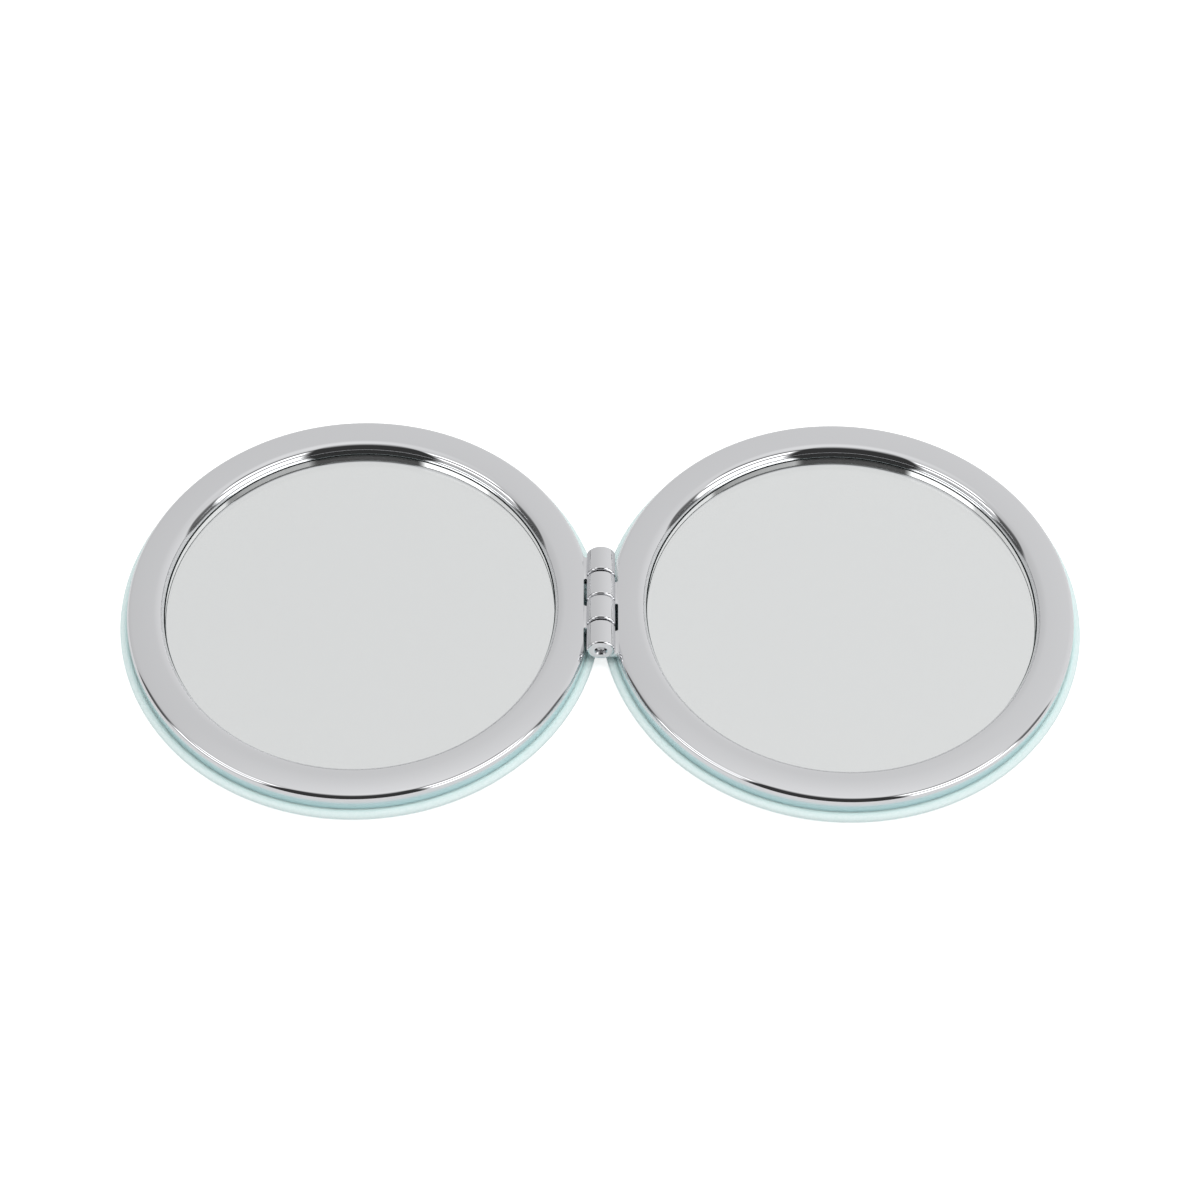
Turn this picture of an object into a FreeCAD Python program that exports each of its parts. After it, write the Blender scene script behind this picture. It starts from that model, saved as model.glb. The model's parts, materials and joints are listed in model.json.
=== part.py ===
import FreeCAD, Part
import math
import os
from FreeCAD import Vector

# Round compact mirror, opened flat: two alike halves joined by one hinge of four knuckles.
# Each half is a chromed die-cast ring glued onto a padded cover, with a glass mirror in the ring.
# Millimetres. The base half lies towards -X and the lid half towards +X, +Y is the rear and +Z is up.
# The origin is on the table, below the middle of the hinge.

# Cover: skin wrapped round a foam sheet and a board, its hem turned in under the ring
cover_radius = 35.0
skin_thickness = 0.4
foam_thickness = 0.3
board_thickness = 0.7
board_clearance = 0.1
rim_side = 0.1
hem_bend = 0.08
hem_width = 4.6
cover_gap = 0.2

# Ring frame, set in from the cover's edge
rim_ledge = 1.15
ring_width = 5.35
frame_height = 3.1
lip_round = 1.4
well_draft = 2.0
outer_round = 0.92
crown_radius = 18.0
frame_tape_thickness = 0.1
frame_tape_setback = 0.6
frame_tape_inset = 0.2

# Mirror glass and its tape
glass_thickness = 1.1
glass_clearance = 0.1
glass_seam = 0.1
mirror_tape_thickness = 0.75
mirror_tape_margin = 1.2

# Hinge
closed_gap = 0.2
barrel_radius = 2.1
knuckle_length = 4.2
knuckle_round = 0.4
spring_gap = 0.25
thrust_gap = 0.1
slot_width = 0.5
shelf_drop = 0.55
web_inset = 0.15
web_flare = 0.3
pin_radius = 0.75
pin_recess = 0.45
pin_round = 0.3
pin_running_clearance = 0.05
bore_chamfer = 0.15
washer_radius = 1.6
washer_thickness = 0.12
washer_clearance = 0.05
washer_end_clearance = 0.02

# Heights, from the table up
foam_z = skin_thickness
board_z = foam_z + foam_thickness
hem_z = board_z + board_thickness
cover_z = hem_z + skin_thickness
frame_z = cover_z + frame_tape_thickness
top_z = frame_z + frame_height
glass_z = hem_z + mirror_tape_thickness
axis_z = top_z + closed_gap / 2
shelf_z = top_z - shelf_drop

# Places and radii that follow from the sizes above
half_centre = cover_radius + cover_gap / 2
frame_radius = cover_radius - rim_ledge
lip_radius = frame_radius - ring_width + lip_round
draft = math.radians(well_draft)
lip_end = (lip_radius - lip_round * math.cos(draft), top_z - lip_round * (1 - math.sin(draft)))
well_radius = lip_end[0] - (lip_end[1] - frame_z) * math.tan(draft)
hem_round = hem_bend + skin_thickness
face_round = cover_z - hem_round - rim_side
face_bend = face_round - skin_thickness
face_radius = cover_radius - face_round
fold_radius = cover_radius - hem_round
hem_radius = fold_radius - hem_width
glass_radius = well_radius - glass_clearance
hollow_radius = barrel_radius + slot_width
knuckle_gaps = [spring_gap, thrust_gap, spring_gap]
barrel_length = 4 * knuckle_length + sum(knuckle_gaps)
barrel_rear = barrel_length / 2

base_side = -1
lid_side = 1


def line(start, end):
    return Part.LineSegment(Vector(start[0], 0, start[1]), Vector(end[0], 0, end[1])).toShape()


def arc(start, middle, end):
    points = [Vector(r, 0, z) for r, z in (start, middle, end)]
    return Part.Arc(*points).toShape()


def turned(edges):
    # A closed outline of (radius, height) edges, turned about the Z axis.
    return Part.Face(Part.Wire(edges)).revolve(Vector(0, 0, 0), Vector(0, 0, 1), 360)


def turned_outline(points):
    return turned([line(a, b) for a, b in zip(points, points[1:] + points[:1])])


def seat(shape, side):
    # Moves a piece turned about the origin to the middle of its own half.
    shape.translate(Vector(side * half_centre, 0, 0))
    return shape


def onto_hinge(shape):
    # Lays a piece turned about the Z axis along the hinge line.
    shape.rotate(Vector(0, 0, 0), Vector(1, 0, 0), -90)
    shape.translate(Vector(0, 0, axis_z))
    return shape


def disc(radius, bottom, thickness):
    return Part.makeCylinder(radius, thickness, Vector(0, 0, bottom))


def block(x_span, y_span, z_span):
    x0, x1 = sorted(x_span)
    y0, y1 = sorted(y_span)
    z0, z1 = sorted(z_span)
    return Part.makeBox(x1 - x0, y1 - y0, z1 - z0, Vector(x0, y0, z0))


def cover_skin():
    # The skin bends softly from its face to the side, and sharply over the board into the hem.
    half = math.sqrt(0.5)
    face_middle = (face_radius + face_round * half, face_round * (1 - half))
    hem_middle = (fold_radius + hem_round * half, cover_z - hem_round * (1 - half))
    inside = cover_radius - skin_thickness
    inner_hem_middle = (fold_radius + hem_bend * half, hem_z - hem_bend * (1 - half))
    inner_face_middle = (face_radius + face_bend * half, foam_z + face_bend * (1 - half))
    edges = [
        line((0, 0), (face_radius, 0)),
        arc((face_radius, 0), face_middle, (cover_radius, face_round)),
        line((cover_radius, face_round), (cover_radius, cover_z - hem_round)),
        arc((cover_radius, cover_z - hem_round), hem_middle, (fold_radius, cover_z)),
        line((fold_radius, cover_z), (hem_radius, cover_z)),
        line((hem_radius, cover_z), (hem_radius, hem_z)),
        line((hem_radius, hem_z), (fold_radius, hem_z)),
        arc((fold_radius, hem_z), inner_hem_middle, (inside, hem_z - hem_bend)),
        line((inside, hem_z - hem_bend), (inside, face_round)),
        arc((inside, face_round), inner_face_middle, (face_radius, foam_z)),
        line((face_radius, foam_z), (0, foam_z)),
        line((0, foam_z), (0, 0)),
    ]
    return turned(edges)


def frame_ring():
    # The top face is a crown, level at the lip and tangent to the outer rounding.
    # The well wall leans back by the draft of the casting.
    crown_z = top_z - crown_radius
    round_r = frame_radius - outer_round
    reach = crown_radius - outer_round
    round_z = crown_z + math.sqrt(reach ** 2 - (round_r - lip_radius) ** 2)
    tilt = math.asin((round_r - lip_radius) / reach)

    def crown(angle):
        return (lip_radius + crown_radius * math.sin(angle), crown_z + crown_radius * math.cos(angle))

    def rounding(angle):
        return (round_r + outer_round * math.sin(angle), round_z + outer_round * math.cos(angle))

    lip_turn = (math.pi / 2 - draft) / 2
    lip_middle = (lip_radius - lip_round * math.sin(lip_turn), top_z - lip_round * (1 - math.cos(lip_turn)))
    edges = [
        line((well_radius, frame_z), lip_end),
        arc(lip_end, lip_middle, (lip_radius, top_z)),
        arc((lip_radius, top_z), crown(tilt / 2), crown(tilt)),
        arc(crown(tilt), rounding((tilt + math.pi / 2) / 2), (frame_radius, round_z)),
        line((frame_radius, round_z), (frame_radius, frame_z)),
        line((frame_radius, frame_z), (well_radius, frame_z)),
    ]
    return turned(edges)


def knuckle_spans():
    # Rear and front end of each knuckle, from the rear.
    spans = []
    rear = barrel_rear
    for gap in knuckle_gaps + [0]:
        spans.append((rear, rear - knuckle_length))
        rear -= knuckle_length + gap
    return spans


def knuckle_barrel(rear, front):
    half = knuckle_round * (1 - math.sqrt(0.5))
    inner = barrel_radius - knuckle_round
    edges = [
        line((0, front), (inner, front)),
        arc((inner, front), (barrel_radius - half, front + half), (barrel_radius, front + knuckle_round)),
        line((barrel_radius, front + knuckle_round), (barrel_radius, rear - knuckle_round)),
        arc((barrel_radius, rear - knuckle_round), (barrel_radius - half, rear - half), (inner, rear)),
        line((inner, rear), (0, rear)),
        line((0, rear), (0, front)),
    ]
    return onto_hinge(turned(edges))


def hinge_hollow():
    # Room for the other half's knuckles to turn in.
    return onto_hinge(disc(hollow_radius, -frame_radius, 2 * frame_radius))


def hinge_shelf(side):
    return block((-side * barrel_radius, side * hollow_radius), (-frame_radius, frame_radius),
                 (shelf_z, axis_z + barrel_radius))


def knuckle_web(side, rear, front):
    # Carries the knuckle on the ring and flares at the edge of the hollow.
    rear -= web_inset
    front += web_inset
    neck = hollow_radius - web_flare
    bottom = axis_z - barrel_radius + knuckle_round
    outline = [
        (0, front), (neck, front), (hollow_radius, front - web_flare),
        (hollow_radius, rear + web_flare), (neck, rear), (0, rear), (0, front),
    ]
    face = Part.Face(Part.makePolygon([Vector(side * x, y, bottom) for x, y in outline]))
    return face.extrude(Vector(0, 0, shelf_z - bottom))


def pin_bore(radius):
    mouth = radius + bore_chamfer
    end = barrel_length / 2
    outline = [
        (0, -end), (mouth, -end), (radius, bore_chamfer - end),
        (radius, end - bore_chamfer), (mouth, end), (0, end),
    ]
    return onto_hinge(turned_outline(outline))


def frame(side, bore_radius):
    first = 0 if side == base_side else 1
    own = knuckle_spans()[first::2]
    barrels = [knuckle_barrel(rear, front) for rear, front in own]
    webs = [knuckle_web(side, rear, front) for rear, front in own]
    hollow = hinge_hollow()
    ring = seat(frame_ring(), side).cut([hollow.cut(webs), hinge_shelf(side)])
    pieces = barrels + [web.common(hollow) for web in webs]
    return ring.fuse(pieces).cut(pin_bore(bore_radius)).removeSplitter()


def frame_tape():
    outer = disc(frame_radius - frame_tape_setback, cover_z, frame_tape_thickness)
    inner = disc(hem_radius + frame_tape_inset, cover_z, frame_tape_thickness)
    return outer.cut(inner)


def mirror_glass():
    front = glass_z + glass_thickness
    outline = [
        (0, glass_z), (glass_radius, glass_z), (glass_radius, front - glass_seam),
        (glass_radius - glass_seam, front), (0, front),
    ]
    return turned_outline(outline)


def hinge_pin():
    end = barrel_length / 2 - pin_recess
    half = pin_round * (1 - math.sqrt(0.5))
    inner = pin_radius - pin_round
    edges = [
        line((0, -end), (inner, -end)),
        arc((inner, -end), (pin_radius - half, half - end), (pin_radius, pin_round - end)),
        line((pin_radius, pin_round - end), (pin_radius, end - pin_round)),
        arc((pin_radius, end - pin_round), (pin_radius - half, end - half), (inner, end)),
        line((inner, end), (0, end)),
        line((0, end), (0, -end)),
    ]
    return onto_hinge(turned(edges))


def spring_washers():
    # A dished washer on the pin in each of the two wide gaps.
    inner = pin_radius + washer_clearance
    spans = knuckle_spans()
    washers = []
    for i in (0, 2):
        rear = spans[i][1] - washer_end_clearance
        front = spans[i + 1][0] + washer_end_clearance
        outline = [
            (inner, rear - washer_thickness), (inner, rear),
            (washer_radius, front + washer_thickness), (washer_radius, front),
        ]
        washers.append(onto_hinge(turned_outline(outline)))
    return Part.makeCompound(washers)


def half_pieces(name, side, bore_radius):
    # the lower edge of the board clears the bend of the skin
    bend_reach = math.sqrt(face_bend ** 2 - (face_bend - foam_thickness) ** 2)
    board_radius = face_radius + bend_reach - board_clearance
    foam_radius = face_radius - board_clearance
    tape_radius = glass_radius - mirror_tape_margin
    return {
        name + "_frame": frame(side, bore_radius),
        name + "_mirror_glass": seat(mirror_glass(), side),
        name + "_mirror_tape": seat(disc(tape_radius, hem_z, mirror_tape_thickness), side),
        name + "_frame_tape": seat(frame_tape(), side),
        name + "_cover_skin": seat(cover_skin(), side),
        name + "_cover_foam": seat(disc(foam_radius, foam_z, foam_thickness), side),
        name + "_cover_board": seat(disc(board_radius, board_z, board_thickness), side),
    }


pieces = half_pieces("base", base_side, pin_radius)
pieces.update(half_pieces("lid", lid_side, pin_radius + pin_running_clearance))
pieces["hinge_pin"] = hinge_pin()
pieces["hinge_spring_washers"] = spring_washers()

os.makedirs("parts", exist_ok=True)
for node, shape in pieces.items():
    shape.exportStep("parts/" + node + ".step")
    print(node, len(shape.Solids), shape.isValid(), round(shape.Volume, 3))
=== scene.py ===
import json
import math

import bmesh
import bpy
from mathutils import Matrix, Vector, noise


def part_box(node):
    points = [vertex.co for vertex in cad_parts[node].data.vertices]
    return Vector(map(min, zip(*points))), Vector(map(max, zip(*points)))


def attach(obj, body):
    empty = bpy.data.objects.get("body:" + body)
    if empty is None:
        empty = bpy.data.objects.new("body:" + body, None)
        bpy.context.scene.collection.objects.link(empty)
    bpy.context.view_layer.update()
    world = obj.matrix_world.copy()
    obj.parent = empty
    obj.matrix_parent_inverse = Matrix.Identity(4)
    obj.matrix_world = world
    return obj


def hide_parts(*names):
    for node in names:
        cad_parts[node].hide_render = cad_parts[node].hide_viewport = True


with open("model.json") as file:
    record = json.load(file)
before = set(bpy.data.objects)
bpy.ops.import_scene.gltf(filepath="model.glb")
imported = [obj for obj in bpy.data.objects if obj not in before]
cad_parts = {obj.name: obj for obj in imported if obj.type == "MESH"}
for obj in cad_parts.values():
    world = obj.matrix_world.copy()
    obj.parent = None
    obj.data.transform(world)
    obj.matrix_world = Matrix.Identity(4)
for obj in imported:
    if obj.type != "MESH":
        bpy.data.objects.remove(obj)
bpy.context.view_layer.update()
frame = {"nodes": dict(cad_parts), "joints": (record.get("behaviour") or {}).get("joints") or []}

mm = 0.001  # meshes are drawn in millimetres and scaled into the frame at the end
scene = bpy.context.scene

# Sizes read from the frame. Its meshes are faceted, so radii are rounded back to the drawing.

drawingStep = 0.05


def drawn(value):
    return round(value / mm / drawingStep) * drawingStep


def nodeSpan(node, axis):
    low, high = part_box(node)
    return drawn(low[axis]), drawn(high[axis])


coverRadius = nodeSpan("base_cover_skin", 1)[1]
coverTop = nodeSpan("base_cover_skin", 2)[1]
frameRadius = nodeSpan("base_frame", 1)[1]
frameBottom = nodeSpan("base_frame", 2)[0]
glassRadius = nodeSpan("base_mirror_glass", 1)[1]
glassBack, glassFront = nodeSpan("base_mirror_glass", 2)
halfCentre = -sum(nodeSpan("base_cover_skin", 0)) / 2
axisHeight = drawn(frame["joints"][0]["pos_m"][2])
barrelRadius = nodeSpan("base_frame", 0)[1]
sides = {"base": -1, "lid": 1}


# Node trees


class Nodes:
    # a small hand for wiring trees
    def __init__(self, tree):
        self.tree = tree

    def add(self, kind, settings=None, **inputs):
        made = self.tree.nodes.new(kind)
        for key, value in (settings or {}).items():
            setattr(made, key, value)
        for key, value in inputs.items():
            self.feed(made, key.replace("_", " "), value)
        return made

    def feed(self, made, key, value):
        # a key such as i0 is a socket's number, any other its name
        byNumber = key[0] == "i" and key[1:].isdigit()
        socket = made.inputs[int(key[1:]) if byNumber else key]
        if isinstance(value, bpy.types.NodeSocket):
            self.tree.links.new(value, socket)
        else:
            socket.default_value = value

    def math(self, operation, *values, clamp=False):
        made = self.add("ShaderNodeMath", {"operation": operation, "use_clamp": clamp})
        for i, value in enumerate(values):
            self.feed(made, "i%d" % i, value)
        return made.outputs["Value"]

    def ramp(self, factor, stops):
        made = self.add("ShaderNodeValToRGB", Fac=factor)
        elements = made.color_ramp.elements
        while len(elements) < len(stops):
            elements.new(1.0)
        for element, (place, value) in zip(elements, stops):
            element.position = place
            colour = value if isinstance(value, tuple) else (value,) * 3
            element.color = (*colour, 1)
        return made.outputs["Color"]


# Turned pieces: an outline of (radius, height) points swept round the Z axis by one node tree

turnedSpec = {"hub": 10.0, "weld": 0.0005}


def turnedTree():
    tree = bpy.data.node_groups.new("turnedOutline", "GeometryNodeTree")
    identifiers = {}
    for name, kind in (("Geometry", "Geometry"), ("Steps", "Int"), ("Copies", "Int"),
                       ("Spacing", "Float"), ("Finish", "Material")):
        socket = tree.interface.new_socket(name, in_out="INPUT", socket_type="NodeSocket" + kind)
        identifiers[name] = socket.identifier
    tree.interface.new_socket("Geometry", in_out="OUTPUT", socket_type="NodeSocketGeometry")

    nodes = Nodes(tree)
    given = nodes.add("NodeGroupInput").outputs
    profile = nodes.add("GeometryNodeMeshToCurve", Mesh=given["Geometry"])
    hub = nodes.add("GeometryNodeCurvePrimitiveCircle",
                    Resolution=given["Steps"], Radius=turnedSpec["hub"])
    swept = nodes.add("GeometryNodeCurveToMesh",
                      Curve=hub.outputs["Curve"], Profile_Curve=profile.outputs["Curve"])
    welded = nodes.add("GeometryNodeMergeByDistance",
                       Geometry=swept.outputs["Mesh"], Distance=turnedSpec["weld"])
    step = nodes.add("ShaderNodeCombineXYZ", Z=given["Spacing"])
    row = nodes.add("GeometryNodeMeshLine", Count=given["Copies"], Offset=step.outputs["Vector"])
    placed = nodes.add("GeometryNodeInstanceOnPoints",
                       Points=row.outputs["Mesh"], Instance=welded.outputs["Geometry"])
    real = nodes.add("GeometryNodeRealizeInstances", Geometry=placed.outputs["Instances"])
    dressed = nodes.add("GeometryNodeSetMaterial",
                        Geometry=real.outputs["Geometry"], Material=given["Finish"])
    nodes.add("NodeGroupOutput", Geometry=dressed.outputs["Geometry"])
    return tree, identifiers


turned, turnedInput = turnedTree()


def helper(name, mesh):
    obj = bpy.data.objects.new(name, mesh)
    scene.collection.objects.link(obj)
    return obj


def plainMesh(obj):
    # the evaluated object as a plain mesh; the helper object goes
    depsgraph = bpy.context.evaluated_depsgraph_get()
    mesh = bpy.data.meshes.new_from_object(obj.evaluated_get(depsgraph))
    bpy.data.objects.remove(obj)
    return mesh


def editedMesh(edit, name):
    mesh = bpy.data.meshes.new(name)
    edit.to_mesh(mesh)
    edit.free()
    return mesh


def turn(name, outline, finish, steps, closed=False, copies=1, spacing=0.0):
    # an outline that starts and ends on the axis stays open, a ring's outline is closed
    points = [(radius - turnedSpec["hub"], -height, 0) for radius, height in outline]
    edges = [(i, i + 1) for i in range(len(points) - 1)]
    if closed:
        edges.append((len(points) - 1, 0))
    profile = bpy.data.meshes.new(name)
    profile.from_pydata(points, edges, [])
    obj = helper(name, profile)
    modifier = obj.modifiers.new("turned", "NODES")
    modifier.node_group = turned
    for key, value in (("Steps", steps), ("Copies", copies), ("Spacing", spacing), ("Finish", finish)):
        modifier[turnedInput[key]] = value
    mesh = plainMesh(obj)
    edit = bmesh.new()
    edit.from_mesh(mesh)
    bmesh.ops.recalc_face_normals(edit, faces=edit.faces)
    edit.to_mesh(mesh)
    edit.free()
    return mesh


def ovalPoints(centre, reach, start, end, steps):
    # points along an oval, angles in degrees from the outward radius
    points = []
    for i in range(steps + 1):
        angle = math.radians(start + (end - start) * i / steps)
        points.append((centre[0] + reach[0] * math.cos(angle), centre[1] + reach[1] * math.sin(angle)))
    return points


def arcPoints(centre, radius, start, end, steps):
    return ovalPoints(centre, (radius, radius), start, end, steps)


def combine(mesh, others, operation):
    obj = helper("combine", mesh)
    tools = [helper("tool", other) for other in others]
    for tool in tools:
        modifier = obj.modifiers.new("combine", "BOOLEAN")
        modifier.operation = operation
        modifier.solver = "EXACT"
        modifier.object = tool
    result = plainMesh(obj)
    for tool in tools:
        bpy.data.objects.remove(tool)
    return result


def addPiece(name, mesh, body, replaced, creaseAngle=30):
    mesh.transform(Matrix.Scale(mm, 4))
    mesh.shade_smooth()
    mesh.set_sharp_from_angle(angle=math.radians(creaseAngle))
    mesh.name = name
    piece = helper(name, mesh)
    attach(piece, body)
    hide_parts(replaced)
    print("piece", name, len(mesh.polygons), "faces")
    return piece


# Effects that several materials share

markSpec = {"detail": 4.0, "roughness": 0.55, "start": 0.45, "gain": 3.0}
grainSpec = {"warpScale": 900.0, "warpReach": 0.0003, "smooth": 0.6, "poreScale": 9000.0, "detail": 2.0,
             "valleyGain": 1.2}


def shaderGroup(name, inputs, outputs):
    # every socket of these groups is a plain number
    tree = bpy.data.node_groups.new(name, "ShaderNodeTree")
    for direction, sockets in (("INPUT", inputs), ("OUTPUT", outputs)):
        for socket in sockets:
            tree.interface.new_socket(socket, in_out=direction, socket_type="NodeSocketFloat")
    nodes = Nodes(tree)
    given = nodes.add("NodeGroupInput").outputs
    result = nodes.add("NodeGroupOutput")
    return tree, nodes, given, result


def objectPlace(nodes):
    return nodes.add("ShaderNodeTexCoord").outputs["Object"]


def handlingGroup():
    # roughness of a polished face: clean polish, with faint cloudy wipe marks
    spec = markSpec
    tree, nodes, given, result = shaderGroup("handlingMarks", ("Polish", "Haze", "Size"), ("Roughness",))
    clouds = nodes.add("ShaderNodeTexNoise", Vector=objectPlace(nodes), Scale=given["Size"],
                       Detail=spec["detail"], Roughness=spec["roughness"])
    patch = nodes.math("SUBTRACT", clouds.outputs["Fac"], spec["start"])
    patch = nodes.math("MULTIPLY", patch, spec["gain"], clamp=True)
    nodes.feed(result, "Roughness", nodes.math("MULTIPLY_ADD", patch, given["Haze"], given["Polish"]))
    return tree


def grainGroup():
    # pebbled hide: rounded cells with fine pores between them
    spec = grainSpec
    tree, nodes, given, result = shaderGroup("pebbleGrain", ("Cell", "Pores"), ("Height", "Valley"))
    place = objectPlace(nodes)
    warp = nodes.add("ShaderNodeTexNoise", Vector=place, Scale=spec["warpScale"], Detail=spec["detail"])
    bent = nodes.add("ShaderNodeVectorMath", {"operation": "MULTIPLY_ADD"},
                     i0=warp.outputs["Color"], i1=(spec["warpReach"],) * 3, i2=place)
    cells = nodes.add("ShaderNodeTexVoronoi", {"feature": "SMOOTH_F1"}, Vector=bent.outputs["Vector"],
                      Scale=given["Cell"], Smoothness=spec["smooth"])
    pores = nodes.add("ShaderNodeTexNoise", Vector=place, Scale=spec["poreScale"], Detail=spec["detail"])
    dome = nodes.math("SUBTRACT", 1.0, cells.outputs["Distance"])
    valley = nodes.math("MULTIPLY", cells.outputs["Distance"], spec["valleyGain"], clamp=True)
    nodes.feed(result, "Height", nodes.math("MULTIPLY_ADD", pores.outputs["Fac"], given["Pores"], dome))
    nodes.feed(result, "Valley", valley)
    return tree


def placeGroup():
    # distance from the middle of a half, and height
    tree, nodes, _, result = shaderGroup("halfPlace", (), ("Radius", "Height"))
    place = nodes.add("ShaderNodeSeparateXYZ", Vector=objectPlace(nodes)).outputs
    across = nodes.math("SUBTRACT", nodes.math("ABSOLUTE", place["X"]), halfCentre * mm)
    squares = nodes.math("ADD", nodes.math("POWER", across, 2.0), nodes.math("POWER", place["Y"], 2.0))
    nodes.feed(result, "Radius", nodes.math("SQRT", squares))
    nodes.feed(result, "Height", place["Z"])
    return tree


handlingMarks = handlingGroup()
pebbleGrain = grainGroup()
halfPlace = placeGroup()


# Materials


def newMaterial(name):
    material = bpy.data.materials.new(name)
    material.use_nodes = True
    return material, Nodes(material.node_tree), material.node_tree.nodes["Principled BSDF"]


def useGroup(nodes, tree, **inputs):
    return nodes.add("ShaderNodeGroup", {"node_tree": tree}, **inputs).outputs


def fade(nodes, value, start, stop):
    # 0 at the start and 1 at the stop, both in millimetres
    made = nodes.add("ShaderNodeMapRange", Value=value, From_Min=start * mm, From_Max=stop * mm)
    return made.outputs["Result"]


def blend(nodes, factor, first, second):
    made = nodes.add("ShaderNodeMix", {"data_type": "RGBA"}, Factor=factor)
    for key, colour in (("A", first), ("B", second)):
        nodes.feed(made, key, (*colour, 1) if isinstance(colour, tuple) else colour)
    return made.outputs["Result"]


def addMarks(nodes, shader, spec):
    marks = useGroup(nodes, handlingMarks, Polish=spec["polish"], Haze=spec["haze"], Size=spec["markSize"])
    nodes.feed(shader, "Roughness", marks["Roughness"])


def addBump(nodes, shader, height, spec):
    bump = nodes.add("ShaderNodeBump", Strength=spec["bump"], Distance=spec["bumpDepth"], Height=height)
    nodes.feed(shader, "Normal", bump.outputs["Normal"])


metalSpec = {
    "polishedChrome": {"colour": (0.727, 0.731, 0.747), "polish": 0.015, "haze": 0.02, "markSize": 90.0},
    "mirrorSilver": {"colour": (0.912, 0.914, 0.918), "polish": 0.0, "haze": 0.004, "markSize": 60.0},
    "pinSteel": {"colour": (0.52, 0.52, 0.53), "polish": 0.18, "haze": 0.12, "markSize": 1500.0},
    "springSteel": {"colour": (0.30, 0.30, 0.31), "polish": 0.28, "haze": 0.12, "markSize": 1500.0},
}


def metalFinish(name):
    spec = metalSpec[name]
    material, nodes, shader = newMaterial(name)
    nodes.feed(shader, "Base Color", (*spec["colour"], 1))
    nodes.feed(shader, "Metallic", 1.0)
    addMarks(nodes, shader, spec)
    return material, nodes, shader


# painted reflection of the mint hem on the chrome wall: depths are measured from the ring's edge, heights
# from its foot
paintedMintReflectionSpec = {"colour": (0.595, 0.70, 0.725), "depth": (0.1, 0.02), "height": (1.95, 1.4)}


def chromeFinish():
    # painted reflection: the foot of the ring's outer wall is painted mint, standing in for the mint hem
    # mirrored in the chrome
    spec = paintedMintReflectionSpec
    name = "polishedChrome"
    material, nodes, shader = metalFinish(name)
    place = useGroup(nodes, halfPlace)
    wall = fade(nodes, place["Radius"], *(frameRadius - depth for depth in spec["depth"]))
    low = fade(nodes, place["Height"], *(frameBottom + height for height in spec["height"]))
    # painted reflection: the chrome colour blends to mint low on the wall
    paintedReflection = blend(nodes, nodes.math("MULTIPLY", wall, low), metalSpec[name]["colour"], spec["colour"])
    nodes.feed(shader, "Base Color", paintedReflection)
    return material


glassSpec = {"colour": (0.975, 0.99, 0.985), "bend": 1.52, "polish": 0.0, "haze": 0.004, "markSize": 45.0}


def glassFinish():
    spec = glassSpec
    material, nodes, shader = newMaterial("floatGlass")
    nodes.feed(shader, "Base Color", (*spec["colour"], 1))
    nodes.feed(shader, "Transmission Weight", 1.0)
    nodes.feed(shader, "IOR", spec["bend"])
    addMarks(nodes, shader, spec)
    return material


groundSpec = {"shades": [(0.3, (0.26, 0.30, 0.30)), (0.7, (0.36, 0.40, 0.40))],
              "frostScale": 4000.0, "detail": 3.0, "roughness": 0.3}


def groundFinish():
    # the seam that was ground along the cut edge of the glass
    spec = groundSpec
    material, nodes, shader = newMaterial("groundGlass")
    frost = nodes.add("ShaderNodeTexNoise", Vector=objectPlace(nodes),
                      Scale=spec["frostScale"], Detail=spec["detail"])
    nodes.feed(shader, "Base Color", nodes.ramp(frost.outputs["Fac"], spec["shades"]))
    nodes.feed(shader, "Roughness", spec["roughness"])
    return material


# the painted crease tint's reach is measured from the ring's edge, its depth from the top of the cover
leatherSpec = {"cell": 2600.0, "pores": 0.35, "faceHeight": (0.9, 0.3),
               # the rim colours are paler than the face: painted sheen
               "sheenPaintedRimCrest": (0.81, 0.925, 0.92), "sheenPaintedRimValley": (0.74, 0.88, 0.87), "rimRoughness": 0.36,
               "faceCrest": (0.71, 0.89, 0.875), "faceValley": (0.62, 0.83, 0.815), "faceRoughness": 0.7,
               # the hem colour is painted bounce light in the crease under the ring
               "hem": (0.79, 0.98, 0.96), "paintedBounceReach": (0.65, 0.3), "paintedBounceDepth": (0.3, 0.1),
               "bump": 0.25, "bumpDepth": 0.00006}


def leatherFinish():
    spec = leatherSpec
    material, nodes, shader = newMaterial("mintLeather")
    grain = useGroup(nodes, pebbleGrain, Cell=spec["cell"], Pores=spec["pores"])
    place = useGroup(nodes, halfPlace)
    # painted sheen: the rim is painted paler than the face, standing in for the sheen on it; it is also
    # shinier than the face
    face = fade(nodes, place["Height"], *spec["faceHeight"])
    crest = blend(nodes, face, spec["sheenPaintedRimCrest"], spec["faceCrest"])
    valley = blend(nodes, face, spec["sheenPaintedRimValley"], spec["faceValley"])
    base = blend(nodes, grain["Valley"], crest, valley)
    # painted bounce light: the hem is painted a deeper, greener mint where it runs into the crease under the
    # ring
    under = fade(nodes, place["Radius"], *(frameRadius + reach for reach in spec["paintedBounceReach"]))
    upper = fade(nodes, place["Height"], *(coverTop - depth for depth in spec["paintedBounceDepth"]))
    base = blend(nodes, nodes.math("MULTIPLY", under, upper), base, spec["hem"])
    nodes.feed(shader, "Base Color", base)
    duller = spec["faceRoughness"] - spec["rimRoughness"]
    nodes.feed(shader, "Roughness", nodes.math("MULTIPLY_ADD", face, duller, spec["rimRoughness"]))
    addBump(nodes, shader, grain["Height"], spec)
    return material


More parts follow.
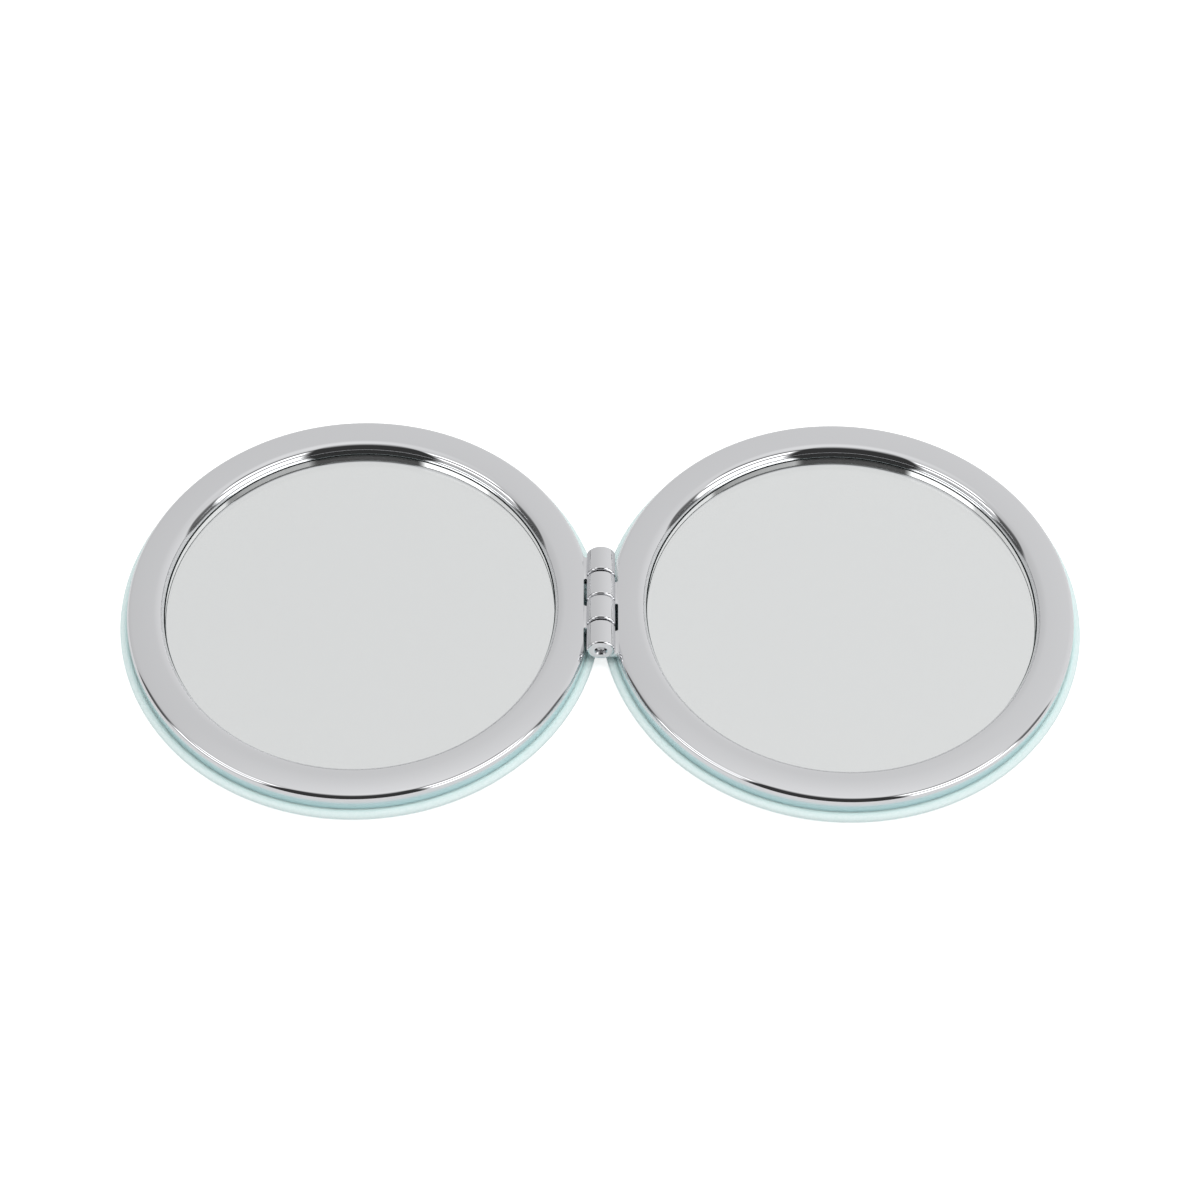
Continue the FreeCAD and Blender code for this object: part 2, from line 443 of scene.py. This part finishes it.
# the sheets inside, each the CAD node of its half
sheetSpec = {
    "mirror_tape": {"finish": "foamTape", "colour": (0.80, 0.80, 0.78), "fleck": (0.70, 0.70, 0.68),
                    "scale": 2500.0, "roughness": 0.9},
    "frame_tape": {"finish": "glueRing", "colour": (0.76, 0.72, 0.58), "fleck": (0.68, 0.63, 0.50),
                   "scale": 1200.0, "roughness": 0.5},
    "cover_foam": {"finish": "coverFoam", "colour": (0.86, 0.85, 0.80), "fleck": (0.74, 0.73, 0.68),
                   "scale": 3200.0, "roughness": 0.95},
    "cover_board": {"finish": "coverBoard", "colour": (0.46, 0.43, 0.38), "fleck": (0.36, 0.33, 0.29),
                    "scale": 1800.0, "roughness": 0.85},
}
fleckSpec = {"detail": 5.0, "roughness": 0.7, "bump": 0.4, "bumpDepth": 0.00005}


def sheetFinish(spec):
    # a matt sheet with fine flecks
    material, nodes, shader = newMaterial(spec["finish"])
    specks = nodes.add("ShaderNodeTexNoise", Vector=objectPlace(nodes), Scale=spec["scale"],
                       Detail=fleckSpec["detail"], Roughness=fleckSpec["roughness"])
    nodes.feed(shader, "Base Color", blend(nodes, specks.outputs["Fac"], spec["colour"], spec["fleck"]))
    nodes.feed(shader, "Roughness", spec["roughness"])
    addBump(nodes, shader, specks.outputs["Fac"], fleckSpec)
    return material


chrome = chromeFinish()
silver, pinSteel, springSteel = (metalFinish(name)[0] for name in ("mirrorSilver", "pinSteel", "springSteel"))
glass = glassFinish()
groundGlass = groundFinish()
leather = leatherFinish()
print("materials ready")


# Ring frames with their knuckles

ringSpec = {"width": 5.35, "lipRound": 1.4, "draft": 2.0, "outerRound": 0.92, "crown": 18.0,
            "faceBelowAxis": 0.1, "shelfDrop": 0.55, "slot": 0.5,
            "lipSteps": 16, "crownSteps": 12, "outerSteps": 16, "steps": 480}
hingeSpec = {"knuckle": 4.2, "springGap": 0.25, "thrustGap": 0.1, "endRound": 0.4, "endSteps": 8,
             "webInset": 0.15, "webFlare": 0.3, "webBreak": 0.05, "webBreakSteps": 2, "tuck": 0.02,
             "pinRadius": 0.75, "pinRecess": 0.45, "pinRound": 0.3, "pinSteps": 6,
             "runningGap": 0.05, "mouth": 0.15, "boreSteps": 64, "steps": 120}

topHeight = axisHeight - ringSpec["faceBelowAxis"]
shelfHeight = topHeight - ringSpec["shelfDrop"]
hollowRadius = barrelRadius + ringSpec["slot"]
knucklePitch = 2 * hingeSpec["knuckle"] + hingeSpec["springGap"] + hingeSpec["thrustGap"]
barrelEnd = knucklePitch - hingeSpec["thrustGap"] / 2


def ringOutline():
    # drafted well wall, rounded lip, crowned top and rounded outer shoulder
    spec = ringSpec
    lipRound, outerRound, crown = spec["lipRound"], spec["outerRound"], spec["crown"]
    lip = frameRadius - spec["width"] + lipRound
    lipArc = arcPoints((lip, topHeight - lipRound), lipRound, 180 - spec["draft"], 90, spec["lipSteps"])
    well = lipArc[0][0] - (lipArc[0][1] - frameBottom) * math.tan(math.radians(spec["draft"]))
    crownHeight = topHeight - crown
    roundRadius = frameRadius - outerRound
    reach = crown - outerRound
    roundHeight = crownHeight + math.sqrt(reach ** 2 - (roundRadius - lip) ** 2)
    tilt = math.degrees(math.asin((roundRadius - lip) / reach))
    outline = [(well, frameBottom)] + lipArc
    outline += arcPoints((lip, crownHeight), crown, 90, 90 - tilt, spec["crownSteps"])[1:]
    outline += arcPoints((roundRadius, roundHeight), outerRound, 90 - tilt, 0, spec["outerSteps"])[1:]
    outline.append((frameRadius, frameBottom))
    return outline


def alongHinge(mesh):
    mesh.transform(Matrix.Translation((0, 0, axisHeight)) @ Matrix.Rotation(math.radians(-90), 4, "X"))
    return mesh


def knucklePair(rearEnd):
    # two barrels of one half, the first with its rear end at rearEnd
    spec = hingeSpec
    endRound = spec["endRound"]
    inner = barrelRadius - endRound
    front = rearEnd - spec["knuckle"]
    outline = [(0, front)]
    outline += arcPoints((inner, front + endRound), endRound, -90, 0, spec["endSteps"])
    outline += arcPoints((inner, rearEnd - endRound), endRound, 0, 90, spec["endSteps"])
    outline.append((0, rearEnd))
    return alongHinge(turn("knuckles", outline, chrome, spec["steps"], copies=2, spacing=-knucklePitch))


def webBlock(side, rear, front):
    # carries one knuckle on the ring and flares at the edge of the hollow
    spec = hingeSpec
    rear -= spec["webInset"]
    front += spec["webInset"]
    foot = hollowRadius + spec["tuck"]
    neck = hollowRadius - spec["webFlare"]
    bottom = axisHeight - barrelRadius + spec["endRound"]
    outline = [(0, front), (neck, front), (foot, front - spec["webFlare"]),
               (foot, rear + spec["webFlare"]), (neck, rear), (0, rear)]
    edit = bmesh.new()
    base = edit.faces.new([edit.verts.new((side * x, y, bottom)) for x, y in outline])
    lifted = bmesh.ops.extrude_face_region(edit, geom=[base])
    tops = [item for item in lifted["geom"] if isinstance(item, bmesh.types.BMVert)]
    bmesh.ops.translate(edit, verts=tops, vec=(0, 0, shelfHeight - bottom))
    bmesh.ops.recalc_face_normals(edit, faces=edit.faces)
    bmesh.ops.bevel(edit, geom=edit.edges[:], offset=spec["webBreak"], segments=spec["webBreakSteps"],
                    profile=0.5, affect="EDGES")  # a profile of 0.5 is round
    mesh = editedMesh(edit, "web")
    mesh.materials.append(chrome)
    return mesh


def shelfBlock():
    # takes the ring's crown down to a shelf beside the barrel
    size = (2 * hollowRadius, 2 * frameRadius, 2 * barrelRadius)
    edit = bmesh.new()
    bmesh.ops.create_cube(edit, size=1.0)
    edit.transform(Matrix.Translation((0, 0, shelfHeight + barrelRadius)) @ Matrix.Diagonal((*size, 1)))
    mesh = editedMesh(edit, "shelf")
    mesh.materials.append(chrome)
    return mesh


def hollowRoll():
    # room in the ring for the other half's knuckles to turn in
    outline = [(0, -frameRadius), (hollowRadius, -frameRadius), (hollowRadius, frameRadius), (0, frameRadius)]
    return alongHinge(turn("hollow", outline, chrome, hingeSpec["steps"]))


def pinBore(radius):
    # countersunk at both ends of the barrel
    spec = hingeSpec
    mouth = spec["mouth"]
    over, wide = barrelEnd + mouth, radius + 2 * mouth
    outline = [(0, -over), (wide, -over), (radius, mouth - barrelEnd),
               (radius, barrelEnd - mouth), (wide, over), (0, over)]
    return alongHinge(turn("bore", outline, chrome, spec["boreSteps"]))


def ringFrame(name):
    side = sides[name]
    spec = hingeSpec
    rearEnd = barrelEnd if name == "base" else barrelEnd - spec["knuckle"] - spec["springGap"]
    ring = turn("ring", ringOutline(), chrome, ringSpec["steps"], closed=True)
    ring.transform(Matrix.Translation((side * halfCentre, 0, 0)))
    ring = combine(ring, [shelfBlock(), hollowRoll()], "DIFFERENCE")
    webs = [webBlock(side, rear, rear - spec["knuckle"]) for rear in (rearEnd, rearEnd - knucklePitch)]
    ring = combine(ring, [knucklePair(rearEnd)] + webs, "UNION")
    gap = 0 if name == "base" else spec["runningGap"]
    ring = combine(ring, [pinBore(spec["pinRadius"] + gap)], "DIFFERENCE")
    return addPiece(name + "_ring_frame", ring, name, name + "_frame")


for half in sides:
    ringFrame(half)
print("ring frames ready")


# Hinge pin and the dished washers on it

washerSpec = {"radius": 1.6, "thickness": 0.12, "bore": 0.8, "endGap": 0.02, "steps": 72}


def hingePin():
    spec = hingeSpec
    pinRound = spec["pinRound"]
    end = barrelEnd - spec["pinRecess"]
    inner = spec["pinRadius"] - pinRound
    outline = [(0, -end)] + arcPoints((inner, pinRound - end), pinRound, -90, 0, spec["pinSteps"])
    outline += [(radius, -height) for radius, height in reversed(outline)]
    pin = alongHinge(turn("pin", outline, pinSteel, spec["steps"]))
    return addPiece("hinge_pin_turned", pin, "base", "hinge_pin")


def springWashers():
    spec = washerSpec
    rear = barrelEnd - hingeSpec["knuckle"] - spec["endGap"]
    front = rear - hingeSpec["springGap"] + 2 * spec["endGap"]
    outline = [(spec["bore"], rear - spec["thickness"]), (spec["bore"], rear),
               (spec["radius"], front + spec["thickness"]), (spec["radius"], front)]
    washers = alongHinge(turn("washers", outline, springSteel, spec["steps"], closed=True,
                              copies=2, spacing=-knucklePitch))
    return addPiece("hinge_washers_dished", washers, "base", "hinge_spring_washers")


hingePin()
springWashers()
print("hinge hardware ready")


# Mirrors: glass silvered on its back, with a ground seam round its front edge

# the last two are limits of a face normal's rise, by which silver and seam are told from the rest
mirrorSpec = {"seam": 0.05, "snug": 0.04, "silverLift": 0.01, "steps": 256,
              "silverRise": -0.9, "seamRise": (0.3, 0.9)}


def mirror(name):
    spec = mirrorSpec
    back = glassBack + spec["silverLift"]
    edge = glassRadius + spec["snug"]  # the glass looks tight in its well
    outline = [(0, back), (edge, back), (edge, glassFront - spec["seam"]),
               (edge - spec["seam"], glassFront), (0, glassFront)]
    mesh = turn("mirror", outline, glass, spec["steps"])
    mesh.transform(Matrix.Translation((sides[name] * halfCentre, 0, 0)))
    mesh.materials.append(silver)
    mesh.materials.append(groundGlass)
    seamLow, seamHigh = spec["seamRise"]
    for face in mesh.polygons:
        if face.normal.z < spec["silverRise"]:
            face.material_index = 1
        elif seamLow < face.normal.z < seamHigh:
            face.material_index = 2
    return addPiece(name + "_mirror", mesh, name, name + "_mirror_glass")


for half in sides:
    mirror(half)
print("mirrors ready")


# Covers: soft skin drawn over the board's edge and turned in under the ring

skinSpec = {"thickness": 0.4, "rimSide": 0.1, "hemBend": 0.08, "hem": 4.6, "spread": 0.06,
            "bend": (1.3, 1.4), "roll": (0.69, 0.53), "meet": 0.08, "crease": 60,
            "faceSteps": 12, "bendSteps": 16, "rollSteps": 18, "hemSteps": 4, "insideSteps": 8, "steps": 512}
# how far the edge wanders, as a skin folded by hand does
swaySpec = {"reach": 0.05, "mean": 0.5, "longWave": 9.0, "longShare": 0.5, "longSeed": 4,
            "shortWave": 2.5, "shortShare": 0.2, "shortSeed": 7, "hemFade": 0.6}
hemRound = skinSpec["hemBend"] + skinSpec["thickness"]
faceRound = coverTop - hemRound - skinSpec["rimSide"]
faceRadius = coverRadius - faceRound


def coverOutline():
    # soft bend from the face to the side, plump roll over the board into the hem, back along the inside
    spec = skinSpec
    fold = coverRadius - hemRound
    hem = fold - spec["hem"]
    hemHeight = coverTop - spec["thickness"]
    edge = coverRadius + spec["spread"]
    bend, roll = spec["bend"], spec["roll"]
    flat = edge - bend[0]
    foot = 180 - math.degrees(math.asin((coverTop - bend[1]) / roll[1]))
    outline = [(flat * i / spec["faceSteps"], 0) for i in range(spec["faceSteps"])]
    outline += ovalPoints((flat, bend[1]), bend, -90, 0, spec["bendSteps"])
    outline += ovalPoints((edge - roll[0], bend[1]), roll, 0, foot, spec["rollSteps"])[1:]
    outline += [(fold - spec["hem"] / 2, coverTop), (hem, coverTop), (hem, hemHeight)]
    outline += arcPoints((fold, coverTop - hemRound), spec["hemBend"], 90, 0, spec["hemSteps"])
    outline += arcPoints((faceRadius, faceRound), faceRound - spec["thickness"], 0, -90, spec["insideSteps"])
    outline.append((0, spec["thickness"]))
    return outline


def swayEdge(mesh, side):
    # nothing moves on the face or under the ring, and the covers meet flat under the hinge
    spec = swaySpec
    longShift = Vector((0, 0, spec["longSeed"] * side))
    shortShift = Vector((0, 0, spec["shortSeed"]))
    for vertex in mesh.vertices:
        place = vertex.co
        reach = Vector((place.x, place.y)).length
        edge = min(1.0, (reach - faceRadius) / faceRound)
        if place.z > skinSpec["bend"][1]:
            edge = min(edge, (reach - frameRadius) / spec["hemFade"])
        if edge > 0:
            wave = noise.noise(Vector((place.x, place.y, 0)) / spec["longWave"] + longShift)
            fine = noise.noise(place / spec["shortWave"] + shortShift)
            wander = spec["mean"] + spec["longShare"] * wave + spec["shortShare"] * fine
            pull = 1 - spec["reach"] * edge * wander / reach
            place.x *= pull
            place.y *= pull
        place.x = -side * min(-side * place.x, halfCentre - skinSpec["meet"])


def cover(name):
    spec = skinSpec
    mesh = turn("cover", coverOutline(), leather, spec["steps"])
    swayEdge(mesh, sides[name])
    mesh.transform(Matrix.Translation((sides[name] * halfCentre, 0, 0)))
    piece = addPiece(name + "_cover", mesh, name, name + "_cover_skin",
                     creaseAngle=spec["crease"])
    return piece


for half in sides:
    cover(half)
for sheet, spec in sheetSpec.items():
    finish = sheetFinish(spec)
    for half in sides:
        node = frame["nodes"][half + "_" + sheet]
        node.data.materials.clear()
        node.data.materials.append(finish)
print("covers ready")


# Floor, world, lamp and camera

# openWhite gives the room's level by height in degrees, sideRise how much it grows towards +X
studioSpec = {"floorSize": 3.0, "floorDrop": 0.02, "paper": 0.8, "cameraLift": 0.68, "shineLift": 0.05,
              "plainLight": 0.7, "sideRise": 0.15, "mirrorSteps": 4,
              "openWhite": [(0, 0.785), (54, 0.775), (60, 0.78), (68, 0.845), (74, 0.905), (90, 1.0)]}

# What stands round the camera, for the metal and the glass to mirror: turn in degrees from the
# camera's side towards +X, height in degrees, the width of the soft edges, and the level
panelSpec = {
    "leftSill": {"turn": (-82, -38), "turnEdge": 4, "height": (-90, 18), "heightEdge": 8, "level": 0.6},
    "leftBox": {"turn": (-82, -38), "turnEdge": 4, "height": (18, 52), "heightEdge": 8, "level": 2.2},
    "rightBox": {"turn": (27, 75), "turnEdge": 4, "height": (-90, 52), "heightEdge": 10, "level": 2.2},
    "leftBar": {"turn": (-82, -38), "turnEdge": 4, "height": (30, 42), "heightEdge": 5, "level": 0.15},
    "rightBar": {"turn": (27, 75), "turnEdge": 4, "height": (20, 32), "heightEdge": 5, "level": 0.15},
    "rightEdge": {"turn": (20, 84), "turnEdge": 4, "height": (50, 62), "heightEdge": 6, "level": 0.2},
    "leftGap": {"turn": (-103, -82), "turnEdge": 4, "height": (-90, 36), "heightEdge": 16, "level": 0.12},
    "rightGap": {"turn": (75, 94), "turnEdge": 4, "height": (-90, 34), "heightEdge": 16, "level": 0.17},
    "cameraBay": {"turn": (-38, 27), "turnEdge": 5, "height": (-90, 66), "heightEdge": 24, "level": 0.045},
}


def shinyRays(nodes, path):
    return nodes.math("MAXIMUM", path["Is Glossy Ray"], path["Is Transmission Ray"])


def studioFloor():
    edit = bmesh.new()
    bmesh.ops.create_grid(edit, x_segments=1, y_segments=1, size=studioSpec["floorSize"] / 2)
    mesh = editedMesh(edit, "studioFloor")
    mesh.transform(Matrix.Translation((0, 0, -studioSpec["floorDrop"] * mm)))
    floor = helper("studioFloor", mesh)
    material, nodes, shader = newMaterial("whiteSweep")
    tree = material.node_tree
    tree.nodes.remove(shader)
    path = nodes.add("ShaderNodeLightPath").outputs
    lift = nodes.math("MULTIPLY", path["Is Camera Ray"], studioSpec["cameraLift"])
    lift = nodes.math("MULTIPLY_ADD", shinyRays(nodes, path), studioSpec["shineLift"], lift)
    paper = nodes.add("ShaderNodeBsdfDiffuse", Color=(studioSpec["paper"],) * 3 + (1,))
    glow = nodes.add("ShaderNodeEmission", Strength=lift)
    both = nodes.add("ShaderNodeAddShader", i0=paper.outputs["BSDF"], i1=glow.outputs["Emission"])
    nodes.feed(tree.nodes["Material Output"], "Surface", both.outputs["Shader"])
    mesh.materials.append(material)


def addPanel(nodes, level, turnShare, heightShare, spec):
    # lays one panel over what stands behind it
    def window(share, span, edge, low, high):
        stops = []
        for place, value in ((span[0] - edge / 2, 0.0), (span[0] + edge / 2, 1.0),
                             (span[1] - edge / 2, 1.0), (span[1] + edge / 2, 0.0)):
            stops.append((min(1.0, max(0.0, (place - low) / (high - low))), value))
        return nodes.ramp(share, stops)

    across = window(turnShare, spec["turn"], spec["turnEdge"], -180, 180)
    upward = window(heightShare, spec["height"], spec["heightEdge"], -90, 90)
    mask = nodes.math("MULTIPLY", across, upward)
    change = nodes.math("SUBTRACT", spec["level"], level)
    return nodes.math("MULTIPLY_ADD", mask, change, level)


def studioLevel(nodes, path):
    # how bright the room is along a mirrored ray
    way = nodes.add("ShaderNodeTexCoord").outputs["Generated"]
    split = nodes.add("ShaderNodeSeparateXYZ", Vector=way).outputs
    turnAngle = nodes.math("ARCTAN2", split["X"], nodes.math("MULTIPLY", split["Y"], -1.0))
    turnShare = nodes.math("MULTIPLY_ADD", turnAngle, 0.5 / math.pi, 0.5)
    heightShare = nodes.math("MULTIPLY_ADD", nodes.math("ARCSINE", split["Z"]), 1 / math.pi, 0.5)
    stops = [((height + 90) / 180, value) for height, value in studioSpec["openWhite"]]
    rise = nodes.math("MULTIPLY_ADD", split["X"], studioSpec["sideRise"], 1.0)
    openLevel = nodes.math("MULTIPLY", nodes.ramp(heightShare, stops), rise)
    level = openLevel
    for spec in panelSpec.values():
        level = addPanel(nodes, level, turnShare, heightShare, spec)
    # a mirror looked at directly shows the open white: into the glass, off the silver, out, to the room
    direct = nodes.math("LESS_THAN", path["Ray Depth"], studioSpec["mirrorSteps"] + 0.5)
    direct = nodes.math("MULTIPLY", direct, path["Is Transmission Ray"])
    return nodes.math("MULTIPLY_ADD", direct, nodes.math("SUBTRACT", openLevel, level), level)


def studioWorld():
    world = bpy.data.worlds.new("studio")
    scene.world = world
    world.use_nodes = True
    tree = world.node_tree
    nodes = Nodes(tree)

    def background(strength):
        made = nodes.add("ShaderNodeBackground", Color=(1, 1, 1, 1), Strength=strength)
        return made.outputs["Background"]

    path = nodes.add("ShaderNodeLightPath").outputs
    studio = background(studioLevel(nodes, path))
    lit = nodes.add("ShaderNodeMixShader", Fac=shinyRays(nodes, path),
                    i1=background(studioSpec["plainLight"]), i2=studio)
    seen = nodes.add("ShaderNodeMixShader", Fac=path["Is Camera Ray"],
                     i1=lit.outputs["Shader"], i2=background(1.0))
    nodes.feed(tree.nodes["World Output"], "Surface", seen.outputs["Shader"])


lampSpec = {"place": (0.12, -0.05, 0.7), "size": 0.5, "power": 2.0}


def overheadLamp():
    spec = lampSpec
    light = bpy.data.lights.new("overhead", "AREA")
    light.shape = "DISK"
    light.size = spec["size"]
    light.energy = spec["power"]
    lamp = bpy.data.objects.new("overhead", light)
    lamp.location = spec["place"]
    lamp.rotation_euler = Vector(spec["place"]).to_track_quat("Z", "Y").to_euler()
    lamp.visible_glossy = False
    lamp.visible_transmission = False
    scene.collection.objects.link(lamp)


# Camera, from the photograph: aim over the middle of the hinge
cameraSpec = {"imageSize": 1200, "focalPixels": 3497.3, "sensor": 36.0, "elevation": 54.152, "yaw": -0.766,
              "roll": 0.981, "distance": 508.85, "aimHeight": 5.2, "aimPixel": (600.936, 601.556),
              "clip": (0.01, 20)}


def photoCamera():
    spec = cameraSpec
    elevation, yaw, roll = (math.radians(spec[key]) for key in ("elevation", "yaw", "roll"))
    back = Vector((math.sin(yaw) * math.cos(elevation),
                   -math.cos(yaw) * math.cos(elevation),
                   math.sin(elevation)))
    right = Vector((0, 0, 1)).cross(back).normalized()
    up = back.cross(right)
    across = right * math.cos(roll) + up * math.sin(roll)
    upward = up * math.cos(roll) - right * math.sin(roll)
    perPixel = spec["distance"] / spec["focalPixels"]
    middle = spec["imageSize"] / 2
    aim = Vector((0, 0, spec["aimHeight"]))
    aim -= across * (spec["aimPixel"][0] - middle) * perPixel
    aim += upward * (spec["aimPixel"][1] - middle) * perPixel
    data = bpy.data.cameras.new("photoCamera")
    data.sensor_width = spec["sensor"]
    data.lens = spec["focalPixels"] * spec["sensor"] / spec["imageSize"]
    data.clip_start, data.clip_end = spec["clip"]
    camera = bpy.data.objects.new("photoCamera", data)
    facing = Matrix((across, upward, back)).transposed().to_4x4()
    camera.matrix_world = Matrix.Translation((aim + back * spec["distance"]) * mm) @ facing
    scene.collection.objects.link(camera)
    scene.camera = camera


studioFloor()
studioWorld()
overheadLamp()
photoCamera()
scene.view_settings.view_transform = "Standard"
print("studio ready")
